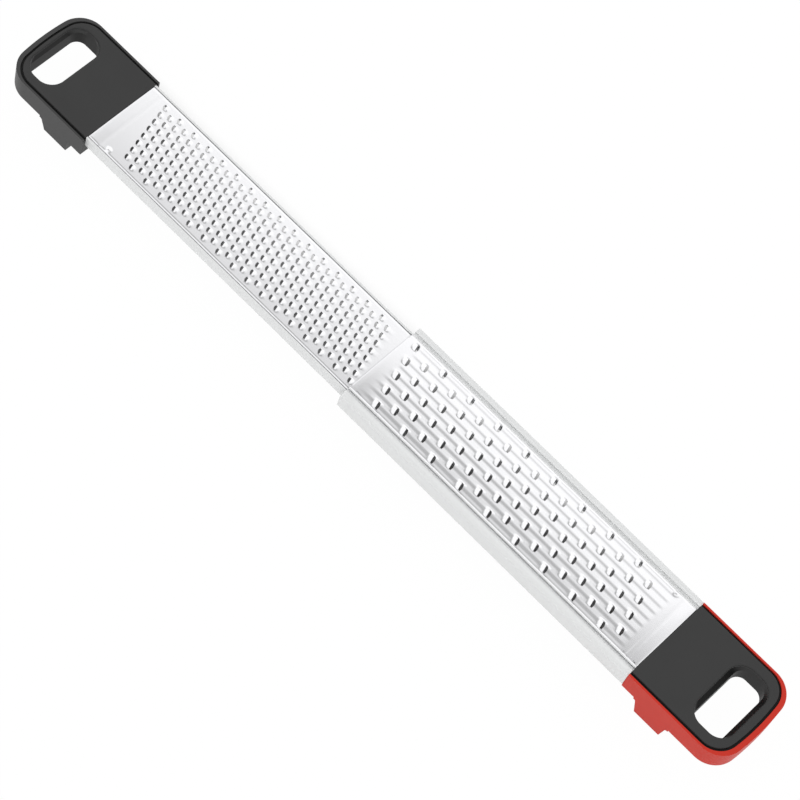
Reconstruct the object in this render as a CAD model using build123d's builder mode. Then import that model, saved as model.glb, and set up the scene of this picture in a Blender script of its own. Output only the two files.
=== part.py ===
from build123d import *
from math import radians, tan
from os import makedirs
from types import SimpleNamespace

# Two kitchen rasps that slide together, one coarse and one fine. Millimetres.
# X runs from the fine rasp's handle to the coarse rasp's handle and Z is up.
# The origin is on the table, midway along the pair as it lies drawn out.

# Lengths along the pair
coarse_blade_length = 166.5
fine_blade_length = 163.7
coarse_handle_length = 53.7
fine_handle_length = 49.5
overlap_at_rest = 5.0

# Heights above the table, at the top of each plate
coarse_blade_height = 23.0
fine_blade_drop = 2.2

# Blade plates
coarse_blade_width = 40.0
fine_blade_width = 39.4
plate_thickness = 0.5
hem_depth = 1.2
fold_radius = 0.35

# Teeth: rows lean back by the skew angle, and every second row is shifted by half a pitch
tooth_skew_angle = 13.6
tooth_skin = 0.3
ramp_start_share = 0.7
coarse_rows = 9
coarse_row_pitch = 4.0
coarse_teeth_per_row = 9
coarse_tooth_pitch = 16.34
coarse_first_tooth = 13.4
coarse_tooth_height = 1.0
coarse_tooth_width = 3.4
coarse_tooth_ramp = 3.0
coarse_tooth_opening = 1.3
fine_rows = 16
fine_row_pitch = 2.1
fine_teeth_per_row = 16
fine_tooth_pitch = 8.88
fine_first_tooth = 19.4
fine_tooth_height = 0.7
fine_tooth_width = 2.5
fine_tooth_ramp = 1.8
fine_tooth_opening = 0.9

# Glide grooves that run through the teeth of a row
groove_depth = 0.15
coarse_groove_start = 6.4
coarse_groove_end_gap = 9.5
coarse_groove_width = 1.3
fine_groove_start = 8.0
fine_groove_end_gap = 14.0
fine_groove_width = 0.7

# Pressed dot near the handle
dot_radius = 1.2
dot_height = 0.25
dot_from_handle = 10.5
dot_from_edge = 2.3

# Clear frames
coarse_frame_width = 48.8
fine_frame_width = 41.4
coarse_frame_height = 9.8
fine_frame_height = 6.4
frame_wall = 1.5
frame_web = 1.3
fine_frame_web = 0.7
end_wall = 2.0
fit_clearance = 0.05
slide_clearance = 0.3
frame_lift_gap = 0.4
plate_rest_width = 1.2
groove_beside_plate = 1.0
ledge_edge_drop = 0.45
ledge_slope_drop = 0.85
ledge_round = 0.5
rim_drop = 0.15
shelf_width = 3.1
guide_top_drop = 4.8
guide_height = 1.4

# Tongue of a frame, inside its handle
tongue_width = 34.0
tongue_length = 22.0
tongue_drop = 4.0
tongue_thickness = 2.2
window_clearance = 0.15

# Handles
coarse_handle_width = 47.7
fine_handle_width = 45.8
coarse_end_rim = 2.3
fine_end_rim = 2.0
shell_height = 13.4
shell_top_drop = 0.5
shell_rim = 0.95
shell_ledge = 1.05
shell_front_wall = 1.8
shell_floor = 1.7
shell_bottom_round = 1.5
end_bulge = 2.2
corner_radius = 12.0
core_clearance = 0.1
core_drop = 3.0
skin_thickness = 1.3
skin_gap = 1.1
skin_round = 0.45

# Hang holes
coarse_hole_from_front = 26.8
coarse_hole_length = 19.7
coarse_hole_width = 33.8
coarse_hole_draw_in = 2.1
fine_hole_from_front = 27.1
fine_hole_length = 17.4
fine_hole_width = 33.0
fine_hole_draw_in = 0.6
hole_radius = 7.5
throat_radius = 5.0
throat_drop = 4.5
tube_wall = 1.3
tube_recess = 1.5
hole_rim_round = 1.0

# Feet
coarse_foot_start = 8.2
coarse_foot_end = 25.3
coarse_foot_front_slope = 2.3
coarse_foot_back_slope = 1.2
fine_foot_start = 8.1
fine_foot_end = 24.4
fine_foot_front_slope = 0.5
fine_foot_back_slope = 2.6
foot_wall = 2.0
foot_floor = 3.0
foot_round = 0.8
foot_root_round = 1.2
pad_inset = 2.0
pad_thickness = 1.2
pad_proud = 0.4

# Screws
screw_spacing = 22.0
screw_from_front = 16.0
screw_radius = 1.3
screw_head_radius = 2.7
screw_head_height = 2.0
screw_hole_radius = 1.7
screw_well_radius = 3.1
screw_boss_radius = 4.4
core_boss_radius = 3.0
screw_shoulder_drop = 11.0
screw_tip_drop = 1.9

overall_length = (coarse_handle_length + coarse_blade_length - overlap_at_rest
                  + fine_blade_length + fine_handle_length)
coarse_tip = overall_length / 2 - coarse_handle_length - coarse_blade_length
fine_tip = coarse_tip + overlap_at_rest
fine_blade_height = coarse_blade_height - fine_blade_drop
tongue_bottom = tongue_drop + tongue_thickness

# Each rasp is drawn from its tip towards its handle, with the top of its plate at zero.
coarse = SimpleNamespace(
    name="coarse",
    seat=Plane(origin=(coarse_tip, 0, coarse_blade_height), x_dir=(1, 0, 0), z_dir=(0, 0, 1)),
    height=coarse_blade_height,
    blade_length=coarse_blade_length,
    blade_width=coarse_blade_width,
    rows=coarse_rows,
    row_pitch=coarse_row_pitch,
    teeth=coarse_teeth_per_row,
    tooth_pitch=coarse_tooth_pitch,
    first_tooth=coarse_first_tooth,
    stagger=coarse_tooth_pitch / 2,
    tooth_height=coarse_tooth_height,
    tooth_width=coarse_tooth_width,
    tooth_ramp=coarse_tooth_ramp,
    tooth_opening=coarse_tooth_opening,
    groove_start=coarse_groove_start,
    groove_end_gap=coarse_groove_end_gap,
    groove_width=coarse_groove_width,
    handle_length=coarse_handle_length,
    handle_width=coarse_handle_width,
    end_rim=coarse_end_rim,
    hole_from_front=coarse_hole_from_front,
    hole_length=coarse_hole_length,
    hole_width=coarse_hole_width,
    hole_draw_in=coarse_hole_draw_in,
    foot_start=coarse_foot_start,
    foot_end=coarse_foot_end,
    foot_front_slope=coarse_foot_front_slope,
    foot_back_slope=coarse_foot_back_slope,
)
fine = SimpleNamespace(
    name="fine",
    seat=Plane(origin=(fine_tip, 0, fine_blade_height), x_dir=(-1, 0, 0), z_dir=(0, 0, 1)),
    height=fine_blade_height,
    blade_length=fine_blade_length,
    blade_width=fine_blade_width,
    rows=fine_rows,
    row_pitch=fine_row_pitch,
    teeth=fine_teeth_per_row,
    tooth_pitch=fine_tooth_pitch,
    first_tooth=fine_first_tooth,
    stagger=-fine_tooth_pitch / 2,
    tooth_height=fine_tooth_height,
    tooth_width=fine_tooth_width,
    tooth_ramp=fine_tooth_ramp,
    tooth_opening=fine_tooth_opening,
    groove_start=fine_groove_start,
    groove_end_gap=fine_groove_end_gap,
    groove_width=fine_groove_width,
    handle_length=fine_handle_length,
    handle_width=fine_handle_width,
    end_rim=fine_end_rim,
    hole_from_front=fine_hole_from_front,
    hole_length=fine_hole_length,
    hole_width=fine_hole_width,
    hole_draw_in=fine_hole_draw_in,
    foot_start=fine_foot_start,
    foot_end=fine_foot_end,
    foot_front_slope=fine_foot_front_slope,
    foot_back_slope=fine_foot_back_slope,
)


def side_plane(rasp, along=0, across=0):
    """Upright plane along a rasp: its own X runs to the handle and its own Y is up."""
    origin = rasp.seat.origin + rasp.seat.x_dir * along + rasp.seat.y_dir * across
    return Plane(origin=origin, x_dir=rasp.seat.x_dir, z_dir=-rasp.seat.y_dir)


def end_plane(rasp, along=0):
    """Upright plane across a rasp, looking along it to the handle."""
    origin = rasp.seat.origin + rasp.seat.x_dir * along
    return Plane(origin=origin, x_dir=rasp.seat.y_dir, z_dir=rasp.seat.x_dir)


def tooth_planes(rasp, side_inset=0):
    """One upright plane for each row of teeth, at the row's side and at its first tooth's edge."""
    planes = []
    for row in range(rasp.rows):
        step = row * rasp.row_pitch
        along = (rasp.first_tooth + row % 2 * rasp.stagger
                 - step * tan(radians(tooth_skew_angle)))
        centre = step - (rasp.rows - 1) * rasp.row_pitch / 2
        planes.append(side_plane(rasp, along, centre + rasp.tooth_width / 2 - side_inset))
    return planes


def handle_face(rasp, side_inset=0, end_inset=0, front_inset=0):
    """Plan of a handle: square at the blade, bulging and round cornered at the far end."""
    start = rasp.blade_length + front_inset
    half = rasp.handle_width / 2 - side_inset
    end = rasp.blade_length + rasp.handle_length - end_inset
    with BuildSketch() as face:
        with BuildLine():
            Line((end - end_bulge, half), (start, half))
            Line((start, half), (start, -half))
            Line((start, -half), (end - end_bulge, -half))
            ThreePointArc((end - end_bulge, -half), (end, 0), (end - end_bulge, half))
        make_face()
        fillet(face.vertices().filter_by_position(Axis.X, end - end_bulge, end),
               corner_radius - side_inset)
    return face.sketch


def hole_face(rasp, draw_in=0, radius=hole_radius, growth=0):
    """Plan of the hang hole: its long sides come in by the draw-in, and all sides grow."""
    middle = rasp.blade_length + rasp.hole_from_front + rasp.hole_length / 2
    with BuildSketch() as face:
        with Locations((middle, 0)):
            RectangleRounded(rasp.hole_length - 2 * draw_in + 2 * growth,
                             rasp.hole_width + 2 * growth, radius + growth)
    return face.sketch


def screw_discs(rasp, radius):
    """A disc at each handle screw."""
    with BuildSketch() as discs:
        with Locations((rasp.blade_length + screw_from_front, 0)):
            with GridLocations(0, screw_spacing, 1, 2):
                Circle(radius)
    return discs.sketch


def pad_face(rasp, gap=0):
    """Plan of the pad under the foot, smaller by the gap on all sides."""
    start = rasp.foot_start + rasp.foot_front_slope + pad_inset + gap
    end = rasp.foot_end - rasp.foot_back_slope - pad_inset - gap
    with BuildSketch() as face:
        with Locations((rasp.blade_length + (start + end) / 2, 0)):
            Rectangle(end - start, rasp.handle_width - 2 * pad_inset - 2 * gap)
    return face.sketch


makedirs("parts", exist_ok=True)

for rasp in (coarse, fine):
    seat = rasp.seat
    foot_bottom = rasp.height - pad_proud
    groove_end = rasp.blade_length - rasp.groove_end_gap
    tooth_places = [(tooth * rasp.tooth_pitch, 0) for tooth in range(rasp.teeth)]

    # Blade: a thin plate with all four edges folded down and arched teeth in skewed rows
    with BuildPart() as blade:
        with BuildSketch(seat):
            with Locations((rasp.blade_length / 2, 0)):
                Rectangle(rasp.blade_length, rasp.blade_width)
        extrude(amount=-hem_depth)
        fillet(blade.faces().sort_by(Axis.Z)[-1].edges(), fold_radius)
        with BuildSketch(seat.offset(-plate_thickness)):
            with Locations((rasp.blade_length / 2, 0)):
                Rectangle(rasp.blade_length - 2 * plate_thickness,
                          rasp.blade_width - 2 * plate_thickness)
        extrude(amount=-hem_depth, mode=Mode.SUBTRACT)
        with BuildSketch(seat):
            with Locations(((rasp.groove_start + groove_end) / 2, 0)):
                with GridLocations(0, rasp.row_pitch, 1, rasp.rows):
                    Rectangle(groove_end - rasp.groove_start, rasp.groove_width)
        extrude(amount=-groove_depth, mode=Mode.SUBTRACT)
        with BuildSketch(*tooth_planes(rasp)):
            with Locations(tooth_places):
                Polygon((-rasp.tooth_ramp, -plate_thickness / 2), (0, -plate_thickness / 2),
                        (0, rasp.tooth_height), (-rasp.tooth_ramp, 0), align=None)
        extrude(amount=rasp.tooth_width)
        with BuildSketch(*tooth_planes(rasp, tooth_skin)):
            with Locations(tooth_places):
                Polygon((-rasp.tooth_ramp * ramp_start_share, -plate_thickness),
                        (rasp.tooth_opening, -plate_thickness),
                        (rasp.tooth_opening, rasp.tooth_height),
                        (0, rasp.tooth_height), (0, rasp.tooth_height - tooth_skin),
                        align=None)
        extrude(amount=rasp.tooth_width - 2 * tooth_skin, mode=Mode.SUBTRACT, clean=False)
        with BuildSketch(seat):
            with Locations((rasp.blade_length - dot_from_handle,
                            rasp.blade_width / 2 - dot_from_edge)):
                Circle(dot_radius)
        extrude(amount=dot_height, clean=False)
    blade.part.label = f"{rasp.name}_blade"
    export_step(blade.part, f"parts/{rasp.name}_blade.step")

    # Handle shell: a tray with a hollow foot, screw bosses and a window for the frame's tongue
    with BuildPart() as shell:
        with BuildSketch(seat.offset(-shell_top_drop)):
            add(handle_face(rasp))
        extrude(amount=shell_top_drop - shell_height)
        fillet(shell.faces().sort_by(Axis.Z)[0].edges(), shell_bottom_round)
        with BuildSketch(side_plane(rasp, rasp.blade_length, rasp.handle_width / 2)) as foot:
            Polygon((rasp.foot_start - foot_root_round, -shell_height + shell_bottom_round),
                    (rasp.foot_start - foot_root_round, -shell_height),
                    (rasp.foot_start, -shell_height),
                    (rasp.foot_start + rasp.foot_front_slope, -foot_bottom),
                    (rasp.foot_end - rasp.foot_back_slope, -foot_bottom),
                    (rasp.foot_end, -shell_height),
                    (rasp.foot_end + foot_root_round, -shell_height),
                    (rasp.foot_end + foot_root_round, -shell_height + shell_bottom_round),
                    align=None)
            fillet(foot.vertices().filter_by_position(Axis.X, rasp.foot_start, rasp.foot_end)
                   .filter_by_position(Axis.Y, -shell_height, -shell_height), foot_root_round)
        extrude(amount=rasp.handle_width)
        fillet(shell.faces().sort_by(Axis.Z)[0].edges(), foot_round)
        with BuildSketch(seat.offset(-core_drop)):
            add(handle_face(rasp, shell_rim, rasp.end_rim))
        extrude(amount=core_drop, mode=Mode.SUBTRACT)
        with BuildSketch(seat.offset(shell_floor - shell_height)):
            add(handle_face(rasp, shell_rim + shell_ledge, rasp.end_rim + shell_ledge,
                            shell_front_wall))
        extrude(amount=shell_height - shell_floor, mode=Mode.SUBTRACT)
        with BuildSketch(side_plane(rasp, rasp.blade_length,
                                    rasp.handle_width / 2 - shell_rim - shell_ledge)):
            Polygon((rasp.foot_start + foot_wall, shell_floor - shell_height),
                    (rasp.foot_start + foot_wall, -shell_height),
                    (rasp.foot_start + rasp.foot_front_slope + foot_wall,
                     foot_floor - foot_bottom),
                    (rasp.foot_end - rasp.foot_back_slope - foot_wall,
                     foot_floor - foot_bottom),
                    (rasp.foot_end - foot_wall, -shell_height),
                    (rasp.foot_end - foot_wall, shell_floor - shell_height), align=None)
        extrude(amount=rasp.handle_width - 2 * shell_rim - 2 * shell_ledge, mode=Mode.SUBTRACT)
        with BuildSketch(seat.offset(-tongue_bottom)):
            add(screw_discs(rasp, screw_boss_radius))
        extrude(amount=tongue_bottom + foot_floor - foot_bottom)
        with BuildSketch(seat.offset(-tongue_bottom)):
            add(screw_discs(rasp, screw_hole_radius))
        extrude(amount=tongue_bottom - screw_shoulder_drop, mode=Mode.SUBTRACT)
        with BuildSketch(seat.offset(-screw_shoulder_drop)):
            add(screw_discs(rasp, screw_well_radius))
        extrude(amount=screw_shoulder_drop - rasp.height, mode=Mode.SUBTRACT)
        with BuildSketch(seat.offset(-rasp.height)):
            add(pad_face(rasp))
        extrude(amount=pad_thickness, mode=Mode.SUBTRACT)
        with BuildSketch(end_plane(rasp, rasp.blade_length)):
            with Locations((0, -tongue_drop - tongue_thickness / 2)):
                Rectangle(tongue_width + 2 * window_clearance,
                          tongue_thickness + 2 * window_clearance)
        extrude(amount=shell_front_wall, mode=Mode.SUBTRACT)
        with BuildSketch(seat.offset(-shell_height)):
            add(hole_face(rasp, rasp.hole_draw_in, throat_radius, tube_wall + core_clearance))
        extrude(amount=shell_floor, mode=Mode.SUBTRACT)
    shell.part.label = f"{rasp.name}_handle_shell"
    export_step(shell.part, f"parts/{rasp.name}_handle_shell.step")

    # Handle core: the hard lid under the soft skin, with the hang hole's tube and screw bosses
    with BuildPart() as core:
        with BuildSketch(seat.offset(-core_drop)):
            add(handle_face(rasp, shell_rim + core_clearance, rasp.end_rim + core_clearance))
        extrude(amount=core_drop - skin_thickness)
        with BuildSketch(seat.offset(tube_recess - shell_height)):
            add(hole_face(rasp, rasp.hole_draw_in, throat_radius, tube_wall))
        extrude(amount=shell_height - tube_recess - core_drop)
        with BuildSketch(seat.offset(-tongue_drop)):
            add(screw_discs(rasp, core_boss_radius))
        extrude(amount=tongue_drop - core_drop)
        with BuildSketch(seat.offset(-tongue_drop)):
            add(screw_discs(rasp, screw_radius + fit_clearance))
        extrude(amount=tongue_drop - screw_tip_drop, mode=Mode.SUBTRACT)
        with BuildSketch(seat.offset(-throat_drop)):
            add(hole_face(rasp, rasp.hole_draw_in, throat_radius))
        with BuildSketch(seat.offset(-skin_thickness)):
            add(hole_face(rasp))
        loft(mode=Mode.SUBTRACT)
        with BuildSketch(seat.offset(tube_recess - shell_height)):
            add(hole_face(rasp, rasp.hole_draw_in, throat_radius))
        extrude(amount=shell_height - tube_recess - throat_drop, mode=Mode.SUBTRACT)
    core.part.label = f"{rasp.name}_handle_core"
    export_step(core.part, f"parts/{rasp.name}_handle_core.step")

    # Grip skin: the soft dark panel on top of the handle
    with BuildPart() as skin:
        with BuildSketch(seat.offset(-skin_thickness)):
            add(handle_face(rasp, shell_rim + skin_gap, rasp.end_rim + skin_gap))
        extrude(amount=skin_thickness)
        fillet(skin.faces().sort_by(Axis.Z)[-1].edges(), skin_round)
        with BuildSketch(seat):
            add(hole_face(rasp))
        extrude(amount=-skin_thickness, mode=Mode.SUBTRACT)
        fillet(skin.faces().sort_by(Axis.Z)[-1].inner_wires().edges(), hole_rim_round)
    skin.part.label = f"{rasp.name}_grip_skin"
    export_step(skin.part, f"parts/{rasp.name}_grip_skin.step")

    # Foot pad: the rubber strip let into the underside of the foot
    with BuildPart() as pad:
        with BuildSketch(seat.offset(-rasp.height)):
            add(pad_face(rasp, fit_clearance))
        extrude(amount=pad_thickness)
    pad.part.label = f"{rasp.name}_foot_pad"
    export_step(pad.part, f"parts/{rasp.name}_foot_pad.step")

    # Handle screws: two pan heads in the foot's wells, threaded up into the core
    with BuildPart() as screws:
        with BuildSketch(seat.offset(-screw_shoulder_drop - screw_head_height)):
            add(screw_discs(rasp, screw_head_radius))
        extrude(amount=screw_head_height)
        with BuildSketch(seat.offset(-screw_shoulder_drop)):
            add(screw_discs(rasp, screw_radius))
        extrude(amount=screw_shoulder_drop - screw_tip_drop - fit_clearance)
    screws.part.label = f"{rasp.name}_handle_screws"
    export_step(screws.part, f"parts/{rasp.name}_handle_screws.step")

# Coarse frame: a clear channel that carries the plate on top and the fine rasp inside
slot_inner = coarse_blade_width / 2 - plate_thickness - fit_clearance
slot_outer = coarse_blade_width / 2 + fit_clearance
rest_inner = slot_inner - plate_rest_width
outer = coarse_frame_width / 2
inner = outer - frame_wall
web_bottom = frame_lift_gap - fine_blade_drop
shelf_top = -fine_blade_drop - fine_frame_height - slide_clearance
guide_face = fine_frame_width / 2 + slide_clearance
ledge_start = slot_outer + groove_beside_plate
with BuildPart() as coarse_frame:
    with BuildSketch(end_plane(coarse)):
        Polygon((rest_inner, web_bottom), (rest_inner, -plate_thickness),
                (slot_inner, -plate_thickness), (slot_inner, -hem_depth - fit_clearance),
                (ledge_start, -hem_depth - fit_clearance), (ledge_start, -ledge_edge_drop),
                (outer - ledge_round, -ledge_edge_drop - ledge_slope_drop),
                (outer, -ledge_edge_drop - ledge_slope_drop - ledge_round),
                (outer, -coarse_frame_height), (inner - shelf_width, -coarse_frame_height),
                (inner - shelf_width, shelf_top), (inner, shelf_top),
                (inner, -guide_top_drop - guide_height),
                (guide_face, -guide_top_drop - guide_height),
                (guide_face, -guide_top_drop), (inner, -guide_top_drop),
                (inner, web_bottom - frame_web), (ledge_start, web_bottom), align=None)
        mirror(about=Plane.YZ)
    extrude(amount=coarse_blade_length)
    with BuildSketch(end_plane(coarse, coarse_blade_length - end_wall)):
        with Locations((0, (web_bottom - coarse_frame_height) / 2)):
            Rectangle(2 * inner, coarse_frame_height + web_bottom)
        with Locations((0, (web_bottom - plate_thickness) / 2)):
            Rectangle(2 * rest_inner, -web_bottom - plate_thickness)
    extrude(amount=end_wall)
    with BuildSketch(coarse.seat.offset(-hem_depth - fit_clearance)):
        with Locations((0, 0), (coarse_blade_length, 0)):
            Rectangle(2 * plate_thickness + 2 * fit_clearance, 2 * slot_outer)
    extrude(amount=hem_depth + fit_clearance, mode=Mode.SUBTRACT)
    with BuildSketch(coarse.seat.offset(-tongue_bottom)):
        with Locations((coarse_blade_length + tongue_length / 2, 0)):
            Rectangle(tongue_length, tongue_width)
        add(screw_discs(coarse, screw_hole_radius), mode=Mode.SUBTRACT)
    extrude(amount=tongue_thickness)
coarse_frame.part.label = "coarse_frame"
export_step(coarse_frame.part, "parts/coarse_frame.step")

# Fine frame: a lower clear channel that fits inside the coarse one, closed across its tip
slot_inner = fine_blade_width / 2 - plate_thickness - fit_clearance
slot_outer = fine_blade_width / 2 + fit_clearance
rest_inner = slot_inner - plate_rest_width
outer = fine_frame_width / 2
inner = outer - frame_wall
web_bottom = -hem_depth - fine_frame_web
with BuildPart() as fine_frame:
    with BuildSketch(end_plane(fine)):
        Polygon((rest_inner, web_bottom), (rest_inner, -plate_thickness),
                (slot_inner, -plate_thickness), (slot_inner, -hem_depth - fit_clearance),
                (slot_outer, -hem_depth - fit_clearance), (slot_outer, -2 * rim_drop),
                (slot_outer + rim_drop, -rim_drop), (outer - rim_drop, -rim_drop),
                (outer, -2 * rim_drop), (outer, -fine_frame_height),
                (inner, -fine_frame_height), (inner, web_bottom), align=None)
        mirror(about=Plane.YZ)
    extrude(amount=fine_blade_length)
    with BuildSketch(end_plane(fine, plate_thickness + fit_clearance),
                     end_plane(fine, fine_blade_length - end_wall)):
        with Locations((0, -(plate_thickness + fine_frame_height) / 2)):
            Rectangle(2 * slot_inner, fine_frame_height - plate_thickness)
    extrude(amount=end_wall)
    with BuildSketch(fine.seat.offset(-hem_depth - fit_clearance)):
        with Locations((0, 0), (fine_blade_length, 0)):
            Rectangle(2 * plate_thickness + 2 * fit_clearance, 2 * slot_outer)
    extrude(amount=hem_depth + fit_clearance, mode=Mode.SUBTRACT)
    with BuildSketch(fine.seat.offset(-tongue_bottom)):
        with Locations((fine_blade_length + tongue_length / 2, 0)):
            Rectangle(tongue_length, tongue_width)
        add(screw_discs(fine, screw_hole_radius), mode=Mode.SUBTRACT)
    extrude(amount=tongue_thickness)
fine_frame.part.label = "fine_frame"
export_step(fine_frame.part, "parts/fine_frame.step")
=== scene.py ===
from math import cos, floor, pi, radians, sin, tan

import bpy
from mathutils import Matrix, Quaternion, Vector


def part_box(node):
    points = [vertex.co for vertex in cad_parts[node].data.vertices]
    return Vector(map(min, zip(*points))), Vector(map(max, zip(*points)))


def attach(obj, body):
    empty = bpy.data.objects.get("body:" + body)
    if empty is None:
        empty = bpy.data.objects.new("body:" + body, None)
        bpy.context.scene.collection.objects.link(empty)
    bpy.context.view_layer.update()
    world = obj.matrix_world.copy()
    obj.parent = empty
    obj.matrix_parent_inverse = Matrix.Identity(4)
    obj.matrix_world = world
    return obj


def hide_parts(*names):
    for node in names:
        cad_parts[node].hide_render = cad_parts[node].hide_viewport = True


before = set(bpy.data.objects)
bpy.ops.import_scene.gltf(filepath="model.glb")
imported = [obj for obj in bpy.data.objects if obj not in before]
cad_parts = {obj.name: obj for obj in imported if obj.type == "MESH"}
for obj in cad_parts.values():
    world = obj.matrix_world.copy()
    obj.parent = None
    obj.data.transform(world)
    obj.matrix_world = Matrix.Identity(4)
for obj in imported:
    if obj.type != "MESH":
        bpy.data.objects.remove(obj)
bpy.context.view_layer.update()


# The two blades: thin stainless sheet with its edges folded down to stiffen it. The teeth are
# punched up through it in columns that lean, and in the coarse one a shallow groove runs through
# each row. The sheet was rolled and then etched, which leaves it satin with a fine grain.
mm = 0.001
lean = tan(radians(13.6))
sheet_thickness = 0.5
hem_depth = 1.2
end_bend = 0.4
dimple_height = 0.4
dimple_radius_squared = 1.7
bead_inset = 6
bead_half_width = 1.3
bead_depth = 0.1
last_flat = 2
groove_run_in = 2


def press_blade(name, length, half_width, bend, crown, rows, row_pitch, tooth_pitch, teeth, odd_row,
                first, height, arch, ramp, ramp_length, openings, groove, dimple):
    """Presses one blade with its tip at x = 0 and the top of its sheet at z = 0. Sizes in mm.

    Each line across a tooth has its offset from the row's middle, its share of the tooth's height
    and its share of the groove's depth (arch). Each column along the tooth's back has its place
    before the lip, in ramp lengths, and its share of the height (ramp). Each column behind the
    lip has its place and how far it moves towards the lip where the tooth is low (openings).
    """
    # Teeth stand on every second step of half a pitch. The odd rows start odd_row steps along.
    steps = range(min(0, odd_row), 2 * teeth - 1 + max(0, odd_row))

    def is_tooth(row, step):
        return (step is not None and row % 2 == step % 2
                and 0 <= step - row % 2 * odd_row < 2 * teeth)

    # Both folds have a line of points at each of these turns, in degrees, from the hem inwards.
    turns = (90, 60, 30, 0)
    hem_edge = 180
    end_fold = [(0, hem_edge)] + [(end_bend * (1 - sin(radians(turn))), turn) for turn in turns]
    fold = [(0, hem_edge)] + [(bend * (1 - sin(radians(turn))), turn) for turn in turns]

    # Columns of points across the sheet: place, turn of the fold, tooth step and rise.
    leaning = first + steps[0] * tooth_pitch / 2 - ramp_length
    columns = [(place, turn, None, 0) for place, turn in end_fold]
    columns += [(end_bend + (leaning - end_bend) * share, 0, None, 0) for share in (0.25, 0.5, 0.75)]
    for step in steps:
        lip = first + step * tooth_pitch / 2
        columns += [(lip - ramp_length * share, 0, step, rise) for share, rise in ramp]
        columns += [(lip + place, 0, step, end) for place, end in openings]
    straight = columns[-1][0]
    columns += [(dimple[0] + 0.4 * number, 0, None, 0) for number in range(-5, 6)]
    columns += [(length - bead_inset + 0.5 * number, 0, None, 0) for number in range(-4, 5)]
    columns += [(length - last_flat, 0, None, 0)]
    columns += [(length - place, turn, None, 0) for place, turn in end_fold[::-1]]

    # Lines of points along the sheet: place, turn of the fold, and the shares in each row of teeth.
    arches = {}
    for row in range(rows):
        centre = (row + 0.5 - rows / 2) * row_pitch
        for offset, rise, sink in arch:
            arches.setdefault(round(centre + offset, 3), {})[row] = (rise, sink)
    outermost = max(arches)
    margin = [(half_width - place, turn, {}) for place, turn in fold]
    margin += [(outermost + (half_width - bend - outermost) * share, 0, {}) for share in (0.66, 0.33)]
    lines = [(-place, turn, {}) for place, turn, rises in margin]
    lines += [(place, 0, arches[place]) for place in sorted(arches)]
    lines += margin[::-1]

    bpy.ops.object.select_all(action="DESELECT")
    bpy.ops.mesh.primitive_grid_add(x_subdivisions=len(columns) - 1,
                                    y_subdivisions=len(lines) - 1, size=1)
    blade = bpy.context.object
    blade.name = blade.data.name = name
    bpy.ops.object.mode_set(mode="EDIT")
    bpy.ops.mesh.select_mode(type="FACE")
    bpy.ops.mesh.select_all(action="DESELECT")
    bpy.ops.object.mode_set(mode="OBJECT")

    # The faces straight behind each lip are selected, to be taken out as the tooth's opening.
    for face in blade.data.polygons:
        column = floor((face.center.x + 0.5) * (len(columns) - 1))
        line = floor((face.center.y + 0.5) * (len(lines) - 1))
        step, rise = columns[column][2:]
        near, far = lines[line][2], lines[line + 1][2]
        face.select = rise == 1 and any(is_tooth(row, step) and near[row][0] + far[row][0] > 0
                                        for row in near if row in far)

    groove_start, groove_end, groove_depth = groove
    for vertex in blade.data.vertices:
        x, turn_x, step, rise = columns[round((vertex.co.x + 0.5) * (len(columns) - 1))]
        y, turn_y, rises = lines[round((vertex.co.y + 0.5) * (len(lines) - 1))]

        # The columns lean where the teeth are, and come back upright towards both ends.
        slant = min(1, max(0, (x - end_bend) / (leaning - end_bend)),
                    max(0, (length - end_bend - x) / (length - end_bend - straight)))
        x -= y * lean * slant
        if hem_edge in (turn_x, turn_y):
            vertex.co = Vector((x, y, -hem_depth)) * mm
            continue
        across = max([rises[row][0] for row in rises if is_tooth(row, step)], default=None)
        lift = 0
        if across is not None and rise > 0:
            lift = rise * across
        elif across is not None:
            x += rise * (1 - across)

        # The folds, the crown, the groove, the tooth, the dimple and the bead near the handle.
        z = min(end_bend * (cos(radians(turn_x)) - 1), bend * (cos(radians(turn_y)) - 1))
        z -= crown * (y / half_width) ** 2
        sink = max([groove_share for tooth_share, groove_share in rises.values()], default=0)
        inside = min(1, max(0, (x - groove_start) / groove_run_in),
                     max(0, (groove_end - x) / groove_run_in))
        z -= groove_depth * sink * inside * (1 - rise * (lift > 0))
        z += height * lift
        from_dimple = (x - dimple[0]) ** 2 + (y - dimple[1]) ** 2
        z += dimple_height * max(0, 1 - from_dimple / dimple_radius_squared)
        if turn_y == 0:
            z -= bead_depth * max(0, 1 - ((x - length + bead_inset) / bead_half_width) ** 2)
        vertex.co = Vector((x, y, z)) * mm

    # Each tooth is open towards the handle. The sheet gets its thickness downwards.
    bpy.ops.object.mode_set(mode="EDIT")
    bpy.ops.mesh.delete(type="FACE")
    bpy.ops.mesh.select_all(action="SELECT")
    bpy.ops.mesh.remove_doubles(threshold=0.02 * mm)
    bpy.ops.object.mode_set(mode="OBJECT")
    bpy.ops.object.modifier_add(type="SOLIDIFY")
    sheet = blade.modifiers[-1]
    sheet.thickness = sheet_thickness * mm
    sheet.offset = -1
    bpy.ops.object.modifier_apply(modifier=sheet.name)
    bpy.ops.object.shade_smooth_by_angle(angle=radians(40))
    return blade


def linear(hex_colour):
    """Turns an sRGB hex colour such as #C8C9CB into the linear values that a shader takes."""
    channels = [int(hex_colour[i:i + 2], 16) / 255 for i in (1, 3, 5)]
    return tuple(c / 12.92 if c <= 0.04045 else ((c + 0.055) / 1.055) ** 2.4
                 for c in channels) + (1.0,)


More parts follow.
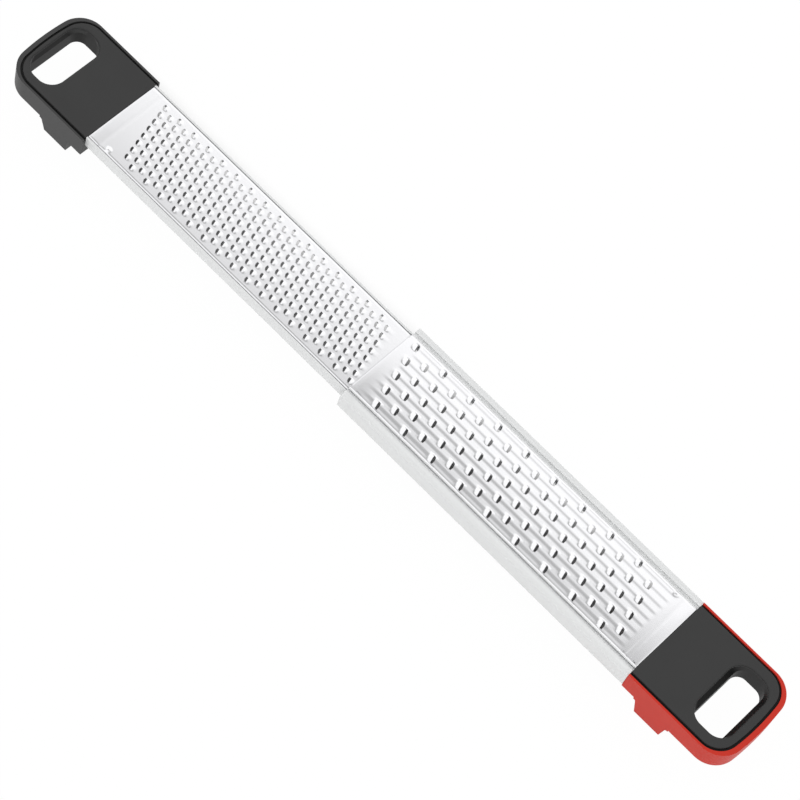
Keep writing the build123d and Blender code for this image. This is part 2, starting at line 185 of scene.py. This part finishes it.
def add_node(material, kind, links=(), **settings):
    """Adds a node, sets its sockets and options, and links its inputs to other nodes' outputs."""
    tree = material.node_tree
    node = tree.nodes.new(kind)
    for name, value in settings.items():
        socket = node.inputs.get(name.replace("_", " "))
        if socket is not None:
            socket.default_value = value
        else:
            setattr(node, name, value)
    for name, output in dict(links).items():
        tree.links.new(output, node.inputs[name])
    return node


def finish_material(name, hex_colour, roughness, **settings):
    """A principled material with its colour and gloss set, and the node that holds them."""
    material = bpy.data.materials.new(name)
    material.use_nodes = True
    shader = material.node_tree.nodes["Principled BSDF"]
    shader.inputs["Base Color"].default_value = linear(hex_colour)
    shader.inputs["Roughness"].default_value = roughness
    for socket, value in settings.items():
        shader.inputs[socket.replace("_", " ")].default_value = value
    return material, shader


# Satin stainless: near white, with streaks along the rolling direction. The real ones are a tenth
# of a millimetre wide and don't show at this size, so they are drawn four times as coarse. Down
# beside the folds the steel mirrors the dark gap; that reflection and the shade there are painted
# into its colour, which turns dark grey wherever the steel is hemmed in.
streak_length = 30
streak_width = 0.4
fold_gap = 1.6
steel, steel_shader = finish_material("etched_stainless_sheet", "#F0F0F2", 0.2, Metallic=1.0)
place = add_node(steel, "ShaderNodeTexCoord")
along = add_node(steel, "ShaderNodeMapping", links={"Vector": place.outputs["Object"]},
                 Scale=(1 / (streak_length * mm), 1 / (streak_width * mm), 1 / (streak_width * mm)))
streaks = add_node(steel, "ShaderNodeTexNoise", Scale=1.0, Detail=3.0,
                   links={"Vector": along.outputs[0]})
relief = add_node(steel, "ShaderNodeBump", Strength=0.3, Distance=0.01 * mm,
                  links={"Height": streaks.outputs["Fac"]})
steel.node_tree.links.new(relief.outputs[0], steel_shader.inputs["Normal"])
gloss = add_node(steel, "ShaderNodeMapRange", To_Min=0.15, To_Max=0.22,
                 links={"Value": streaks.outputs["Fac"]})
steel.node_tree.links.new(gloss.outputs[0], steel_shader.inputs["Roughness"])
# Painted shade and reflection: the base colour goes dark grey close beside the folds, where the gap
# hems the steel in.
depth = add_node(steel, "ShaderNodeAmbientOcclusion", Distance=fold_gap * mm, samples=4)
painted_gap_shade = add_node(steel, "ShaderNodeMix", data_type="RGBA", links={"Factor": depth.outputs["AO"]})
painted_gap_shade.inputs["A"].default_value = linear("#444446")
painted_gap_shade.inputs["B"].default_value = linear("#F0F0F2")
steel.node_tree.links.new(painted_gap_shade.outputs["Result"], steel_shader.inputs["Base Color"])

# The coarse blade's arch reaches from row to row, so that its groove is one gentle ripple.
coarse_blade = press_blade(
    "coarse_toothed_sheet", length=166.5, half_width=19.6, bend=1.2, crown=0.35,
    rows=9, row_pitch=4.0, tooth_pitch=16.34, teeth=9, odd_row=1, first=13.4 - 16 * lean, height=0.9,
    arch=((-2.0, 0, 0.5), (-1.6, 0.3, 0.64), (-1.1, 0.66, 0.82), (-0.6, 0.9, 1), (0, 1, 0.5),
          (0.6, 0.9, 0), (1.1, 0.66, 0.18), (1.6, 0.3, 0.36)),
    ramp=((1, 0), (0.78, 0.08), (0.55, 0.34), (0.32, 0.68), (0.13, 0.92), (0, 1)), ramp_length=2.6,
    openings=((1.3, -0.4), (2.7, 0), (3.9, 0)), groove=(6.4, 157.0, 0.06), dimple=(156.0, 17.7))
fine_blade = press_blade(
    "fine_toothed_sheet", length=163.7, half_width=19.7, bend=0.8, crown=0.12,
    rows=16, row_pitch=2.1, tooth_pitch=8.88, teeth=16, odd_row=-1, first=19.4 - 15.75 * lean,
    height=0.5,
    arch=((-1.26, 0, 0), (-0.84, 0.5, 0), (-0.42, 0.88, 0), (0, 1, 0), (0.42, 0.88, 0),
          (0.84, 0.5, 0), (1.26, 0, 0)),
    ramp=((1, 0), (0.66, 0.2), (0.33, 0.66), (0, 1)), ramp_length=1.5,
    openings=((1.3, -0.4), (2.0, 0)), groove=(0, 0, 0), dimple=(153.2, 17.4))

# Each blade lies where its solid's sheet does, 1.0 or 0.7 mm under the top of the solid's teeth.
# The fine one is turned round, with its tip under the coarse one's.
coarse_box, fine_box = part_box("coarse_blade"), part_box("fine_blade")
coarse_blade.location = (coarse_box[0].x, 0, coarse_box[1].z - 1.0 * mm)
fine_blade.location = (fine_box[1].x, 0, fine_box[1].z - 0.7 * mm)
fine_blade.rotation_euler.z = pi
for blade, rasp in ((coarse_blade, "coarse"), (fine_blade, "fine")):
    blade.data.materials.append(steel)
    bpy.ops.object.select_all(action="DESELECT")
    blade.select_set(True)
    bpy.context.view_layer.objects.active = blade
    bpy.ops.object.transform_apply()
    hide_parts(f"{rasp}_blade")
    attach(blade, f"{rasp}_rasp")


# The clear frames: injection-moulded styrene-acrylonitrile, water clear and glossy. They carry
# the blades by their folded edges, and the small frame slides inside the large one. Thick clear
# plastic looks a little milky. Down between its walls it is greyer, which is painted shade: the
# base colour darkens where the walls hem it in.
def dress(node, material):
    """Gives a CAD node's object one material."""
    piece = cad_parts[node]
    piece.data.materials.clear()
    piece.data.materials.append(material)
    for polygon in piece.data.polygons:
        polygon.material_index = 0


wall_gap = 8
clear, clear_shader = finish_material("clear_moulded_san", "#F2F4F5", 0.12,
                                      Transmission_Weight=0.3, IOR=1.3)
# Painted shade: the base colour turns grey where the walls stand close round it, deep in the frames.
crevice = add_node(clear, "ShaderNodeAmbientOcclusion", Distance=wall_gap * mm, samples=8)
inside = add_node(clear, "ShaderNodeMapRange", From_Min=0.05, From_Max=0.25,
                  links={"Value": crevice.outputs["AO"]})
milk_and_painted_shade = add_node(clear, "ShaderNodeMix", data_type="RGBA", links={"Factor": inside.outputs[0]})
milk_and_painted_shade.inputs["A"].default_value = linear("#939698")
milk_and_painted_shade.inputs["B"].default_value = linear("#FBFCFC")
clear.node_tree.links.new(milk_and_painted_shade.outputs["Result"], clear_shader.inputs["Base Color"])

# The mould leaves flow waves, about 25 mm long and 4.5 mm wide.
waves_per_metre = (40, 220, 220)
place = add_node(clear, "ShaderNodeTexCoord")
flow = add_node(clear, "ShaderNodeMapping", Scale=waves_per_metre,
                links={"Vector": place.outputs["Object"]})
waves = add_node(clear, "ShaderNodeTexNoise", Scale=1.0, Detail=1.0,
                 links={"Vector": flow.outputs[0]})
relief = add_node(clear, "ShaderNodeBump", Strength=0.03, Distance=0.2 * mm,
                  links={"Height": waves.outputs["Fac"]})
clear.node_tree.links.new(relief.outputs[0], clear_shader.inputs["Normal"])
for node in ("coarse_frame", "fine_frame"):
    dress(node, clear)


# The handle shells: moulded polypropylene, red on the coarse rasp and dark grey on the fine one,
# with the even satin grain of a spark-eroded mould. The real grain is about a tenth of a
# millimetre and too fine to show, so it is drawn a few times as coarse.
def add_grain(material, shader, size, depth, tone):
    """Adds a moulded grain: pits of that size and depth in mm, and soft clouds of tone."""
    cloud_size = 12
    place = add_node(material, "ShaderNodeTexCoord")
    pits = add_node(material, "ShaderNodeTexNoise", Scale=1 / (size * mm), Detail=2.0,
                    links={"Vector": place.outputs["Object"]})
    relief = add_node(material, "ShaderNodeBump", Strength=0.5, Distance=depth * mm,
                      links={"Height": pits.outputs["Fac"]})
    material.node_tree.links.new(relief.outputs[0], shader.inputs["Normal"])
    clouds = add_node(material, "ShaderNodeTexNoise", Scale=1 / (cloud_size * mm), Detail=3.0,
                      links={"Vector": place.outputs["Object"]})
    shift = add_node(material, "ShaderNodeMapRange", To_Min=1 - tone, To_Max=1 + tone,
                     links={"Value": clouds.outputs["Fac"]})
    hue = add_node(material, "ShaderNodeHueSaturation", links={"Value": shift.outputs[0]},
                   Color=shader.inputs["Base Color"].default_value)
    material.node_tree.links.new(hue.outputs[0], shader.inputs["Base Color"])


red, red_shader = finish_material("red_polypropylene", "#BE2D1E", 0.45, Specular_IOR_Level=0.2)
grey, grey_shader = finish_material("grey_polypropylene", "#3D3D3D", 0.45, Specular_IOR_Level=0.2)
for node, material, shader in (("coarse_handle_shell", red, red_shader),
                               ("fine_handle_shell", grey, grey_shader)):
    add_grain(material, shader, size=0.5, depth=0.03, tone=0.06)
    dress(node, material)

# The handle cores under the grips: black moulded ABS, pressed down into the shells. They show in
# the groove round each grip and down the hang hole.
core, core_shader = finish_material("black_abs", "#0A0A0A", 0.5, Specular_IOR_Level=0.2)
add_grain(core, core_shader, size=0.5, depth=0.02, tone=0.1)
for node in ("coarse_handle_core", "fine_handle_core"):
    dress(node, core)

# The grips: thermoplastic rubber moulded over the cores, nearly black, with a dry, matt touch.
# They are the panels that the hand lies on.
grip, grip_shader = finish_material("matt_grip_rubber", "#303030", 0.6, Specular_IOR_Level=0.3)
add_grain(grip, grip_shader, size=0.4, depth=0.03, tone=0.08)
for node in ("coarse_grip_skin", "fine_grip_skin"):
    dress(node, grip)

# The foot pads: strips of black rubber let into the feet so that they don't slip. Behind them two
# zinc-plated steel screws hold each handle together, bright with a slightly mottled plating.
pad, pad_shader = finish_material("black_pad_rubber", "#2C2C2C", 0.7)
add_grain(pad, pad_shader, size=0.4, depth=0.04, tone=0.1)
zinc, zinc_shader = finish_material("zinc_plated_steel", "#B9BABD", 0.35, Metallic=1.0)
add_grain(zinc, zinc_shader, size=0.3, depth=0.01, tone=0.05)
for rasp in ("coarse", "fine"):
    dress(f"{rasp}_foot_pad", pad)
    dress(f"{rasp}_handle_screws", zinc)

# The white table that the pair lies on, wide enough that it has no edge in the picture. It looks
# plain white from the camera, through the clear plastic and in the steel. In the strip under the
# blades it is lit instead, and its colour there is painted darker as shade, so that the teeth's
# openings look dark.
strip_end = 0.182
strip_near = -0.010
strip_far = 0.020
plain_share = 0.98
bpy.ops.object.select_all(action="DESELECT")
bpy.ops.mesh.primitive_plane_add(size=8.0)
table = bpy.context.object
table.name = "table"
white, white_shader = finish_material("white_table", "#FFFFFF", 0.6)
spot = add_node(white, "ShaderNodeTexCoord")
spot_axes = add_node(white, "ShaderNodeSeparateXYZ", links={0: spot.outputs["Object"]})
from_middle = add_node(white, "ShaderNodeMath", operation="ABSOLUTE",
                       links={0: spot_axes.outputs["X"]})
past_ends = add_node(white, "ShaderNodeMapRange", From_Min=strip_end, From_Max=strip_end + 0.005,
                     To_Max=plain_share, links={"Value": from_middle.outputs[0]})
before = add_node(white, "ShaderNodeMapRange", From_Min=strip_near, From_Max=strip_near - 0.004,
                  To_Max=plain_share, links={"Value": spot_axes.outputs["Y"]})
beyond = add_node(white, "ShaderNodeMapRange", From_Min=strip_far, From_Max=strip_far + 0.016,
                  To_Max=plain_share, links={"Value": spot_axes.outputs["Y"]})
past_sides = add_node(white, "ShaderNodeMath", operation="MAXIMUM",
                      links={0: before.outputs[0], 1: beyond.outputs[0]})
clear_of_pair = add_node(white, "ShaderNodeMath", operation="MAXIMUM",
                         links={0: past_ends.outputs[0], 1: past_sides.outputs[0]})

# The lit surface, its colour painted darker as shade where little light comes down between the table
# and the blades.
shade_reach = 0.06
shade = add_node(white, "ShaderNodeAmbientOcclusion", Distance=shade_reach, samples=6)
painted_shade = add_node(white, "ShaderNodeMapRange", From_Min=0.3, From_Max=0.9, To_Min=0.12, To_Max=1.0,
                 links={"Value": shade.outputs["AO"]})
paleness_with_painted_shade = add_node(white, "ShaderNodeMath", operation="MAXIMUM",
                    links={0: painted_shade.outputs[0], 1: clear_of_pair.outputs[0]})
white.node_tree.links.new(paleness_with_painted_shade.outputs[0], white_shader.inputs["Base Color"])

ray = add_node(white, "ShaderNodeLightPath")
seen_or_through = add_node(white, "ShaderNodeMath", operation="MAXIMUM",
                           links={0: ray.outputs["Is Camera Ray"],
                                  1: ray.outputs["Is Transmission Ray"]})
direct = add_node(white, "ShaderNodeMath", operation="MAXIMUM",
                  links={0: seen_or_through.outputs[0], 1: ray.outputs["Is Glossy Ray"]})
plain_here = add_node(white, "ShaderNodeMath", operation="MULTIPLY",
                      links={0: direct.outputs[0], 1: clear_of_pair.outputs[0]})
plain = add_node(white, "ShaderNodeEmission", Color=(1.0, 1.0, 1.0, 1.0), Strength=1.0)
surface = add_node(white, "ShaderNodeMixShader",
                   links={0: plain_here.outputs[0], 1: white_shader.outputs[0], 2: plain.outputs[0]})
white.node_tree.links.new(surface.outputs[0],
                          white.node_tree.nodes["Material Output"].inputs["Surface"])
table.data.materials.append(white)

# Soft studio light. The white surround is bright towards the near side, low on the far side and
# past both ends, and the steel mirrors the grey band that is left in between. The band's soft
# edge is what shades the blades across. One large lamp over the far side adds a soft shadow.
band_level = 0.44
far_level = 1.0
near_level = 1.15
end_level = 1.12
horizon_level = 0.85
world = bpy.data.worlds.new("studio")
bpy.context.scene.world = world
world.use_nodes = True
world.node_tree.nodes.clear()
sky = add_node(world, "ShaderNodeTexCoord")
direction = add_node(world, "ShaderNodeSeparateXYZ", links={0: sky.outputs["Generated"]})
far_side = add_node(world, "ShaderNodeMapRange", interpolation_type="SMOOTHSTEP", From_Min=0.33,
                    From_Max=0.46, To_Min=band_level, To_Max=far_level,
                    links={"Value": direction.outputs["Y"]})
near_side = add_node(world, "ShaderNodeMapRange", From_Min=0.2, From_Max=0.0, To_Min=band_level,
                     To_Max=near_level, links={"Value": direction.outputs["Y"]})
sideways = add_node(world, "ShaderNodeMath", operation="ADD", links={0: direction.outputs["X"]})
sideways.inputs[1].default_value = 0.2
aside = add_node(world, "ShaderNodeMath", operation="ABSOLUTE", links={0: sideways.outputs[0]})
ends = add_node(world, "ShaderNodeMapRange", From_Min=0.22, From_Max=0.45, To_Min=band_level,
                To_Max=end_level, links={"Value": aside.outputs[0]})
sides = add_node(world, "ShaderNodeMath", operation="MAXIMUM",
                 links={0: far_side.outputs[0], 1: near_side.outputs[0]})
level = add_node(world, "ShaderNodeMath", operation="MAXIMUM",
                 links={0: sides.outputs[0], 1: ends.outputs[0]})
dusk = add_node(world, "ShaderNodeMapRange", From_Min=0.0, From_Max=0.5, To_Min=horizon_level,
                To_Max=1.0, links={"Value": direction.outputs["Z"]})
strength = add_node(world, "ShaderNodeMath", operation="MULTIPLY",
                    links={0: level.outputs[0], 1: dusk.outputs[0]})
surround = add_node(world, "ShaderNodeBackground", Color=(1.0, 1.0, 1.0, 1.0),
                    links={"Strength": strength.outputs[0]})
add_node(world, "ShaderNodeOutputWorld", links={"Surface": surround.outputs[0]})

lamp_data = bpy.data.lights.new("soft_lamp", "AREA")
lamp_data.shape = "RECTANGLE"
lamp_data.size = 2.6
lamp_data.size_y = 1.3
lamp_data.energy = 2.0
lamp = bpy.data.objects.new("soft_lamp", lamp_data)
bpy.context.collection.objects.link(lamp)
lamp.location = (-0.4, 1.15, 1.1)
lamp.rotation_euler = (-lamp.location).to_track_quat("-Z", "Y").to_euler()

# The camera stands a good metre up, on the near side towards the red handle, and is turned on
# its axis so that the pair lies from corner to corner of a square picture.
camera_place = Vector((0.2598, -0.5464, 1.1440))
camera_aim = Vector((0.01224, -0.00715, 0.0230))
camera_turn = radians(22.16)
camera_data = bpy.data.cameras.new("camera")
camera_data.lens = 136.84
camera_data.sensor_width = 36.0
camera = bpy.data.objects.new("camera", camera_data)
bpy.context.collection.objects.link(camera)
camera.location = camera_place
look = (camera_aim - camera_place).to_track_quat("-Z", "Y")
camera.rotation_euler = (look @ Quaternion((0, 0, 1), camera_turn)).to_euler()
bpy.context.scene.camera = camera
bpy.context.scene.view_settings.view_transform = "Standard"
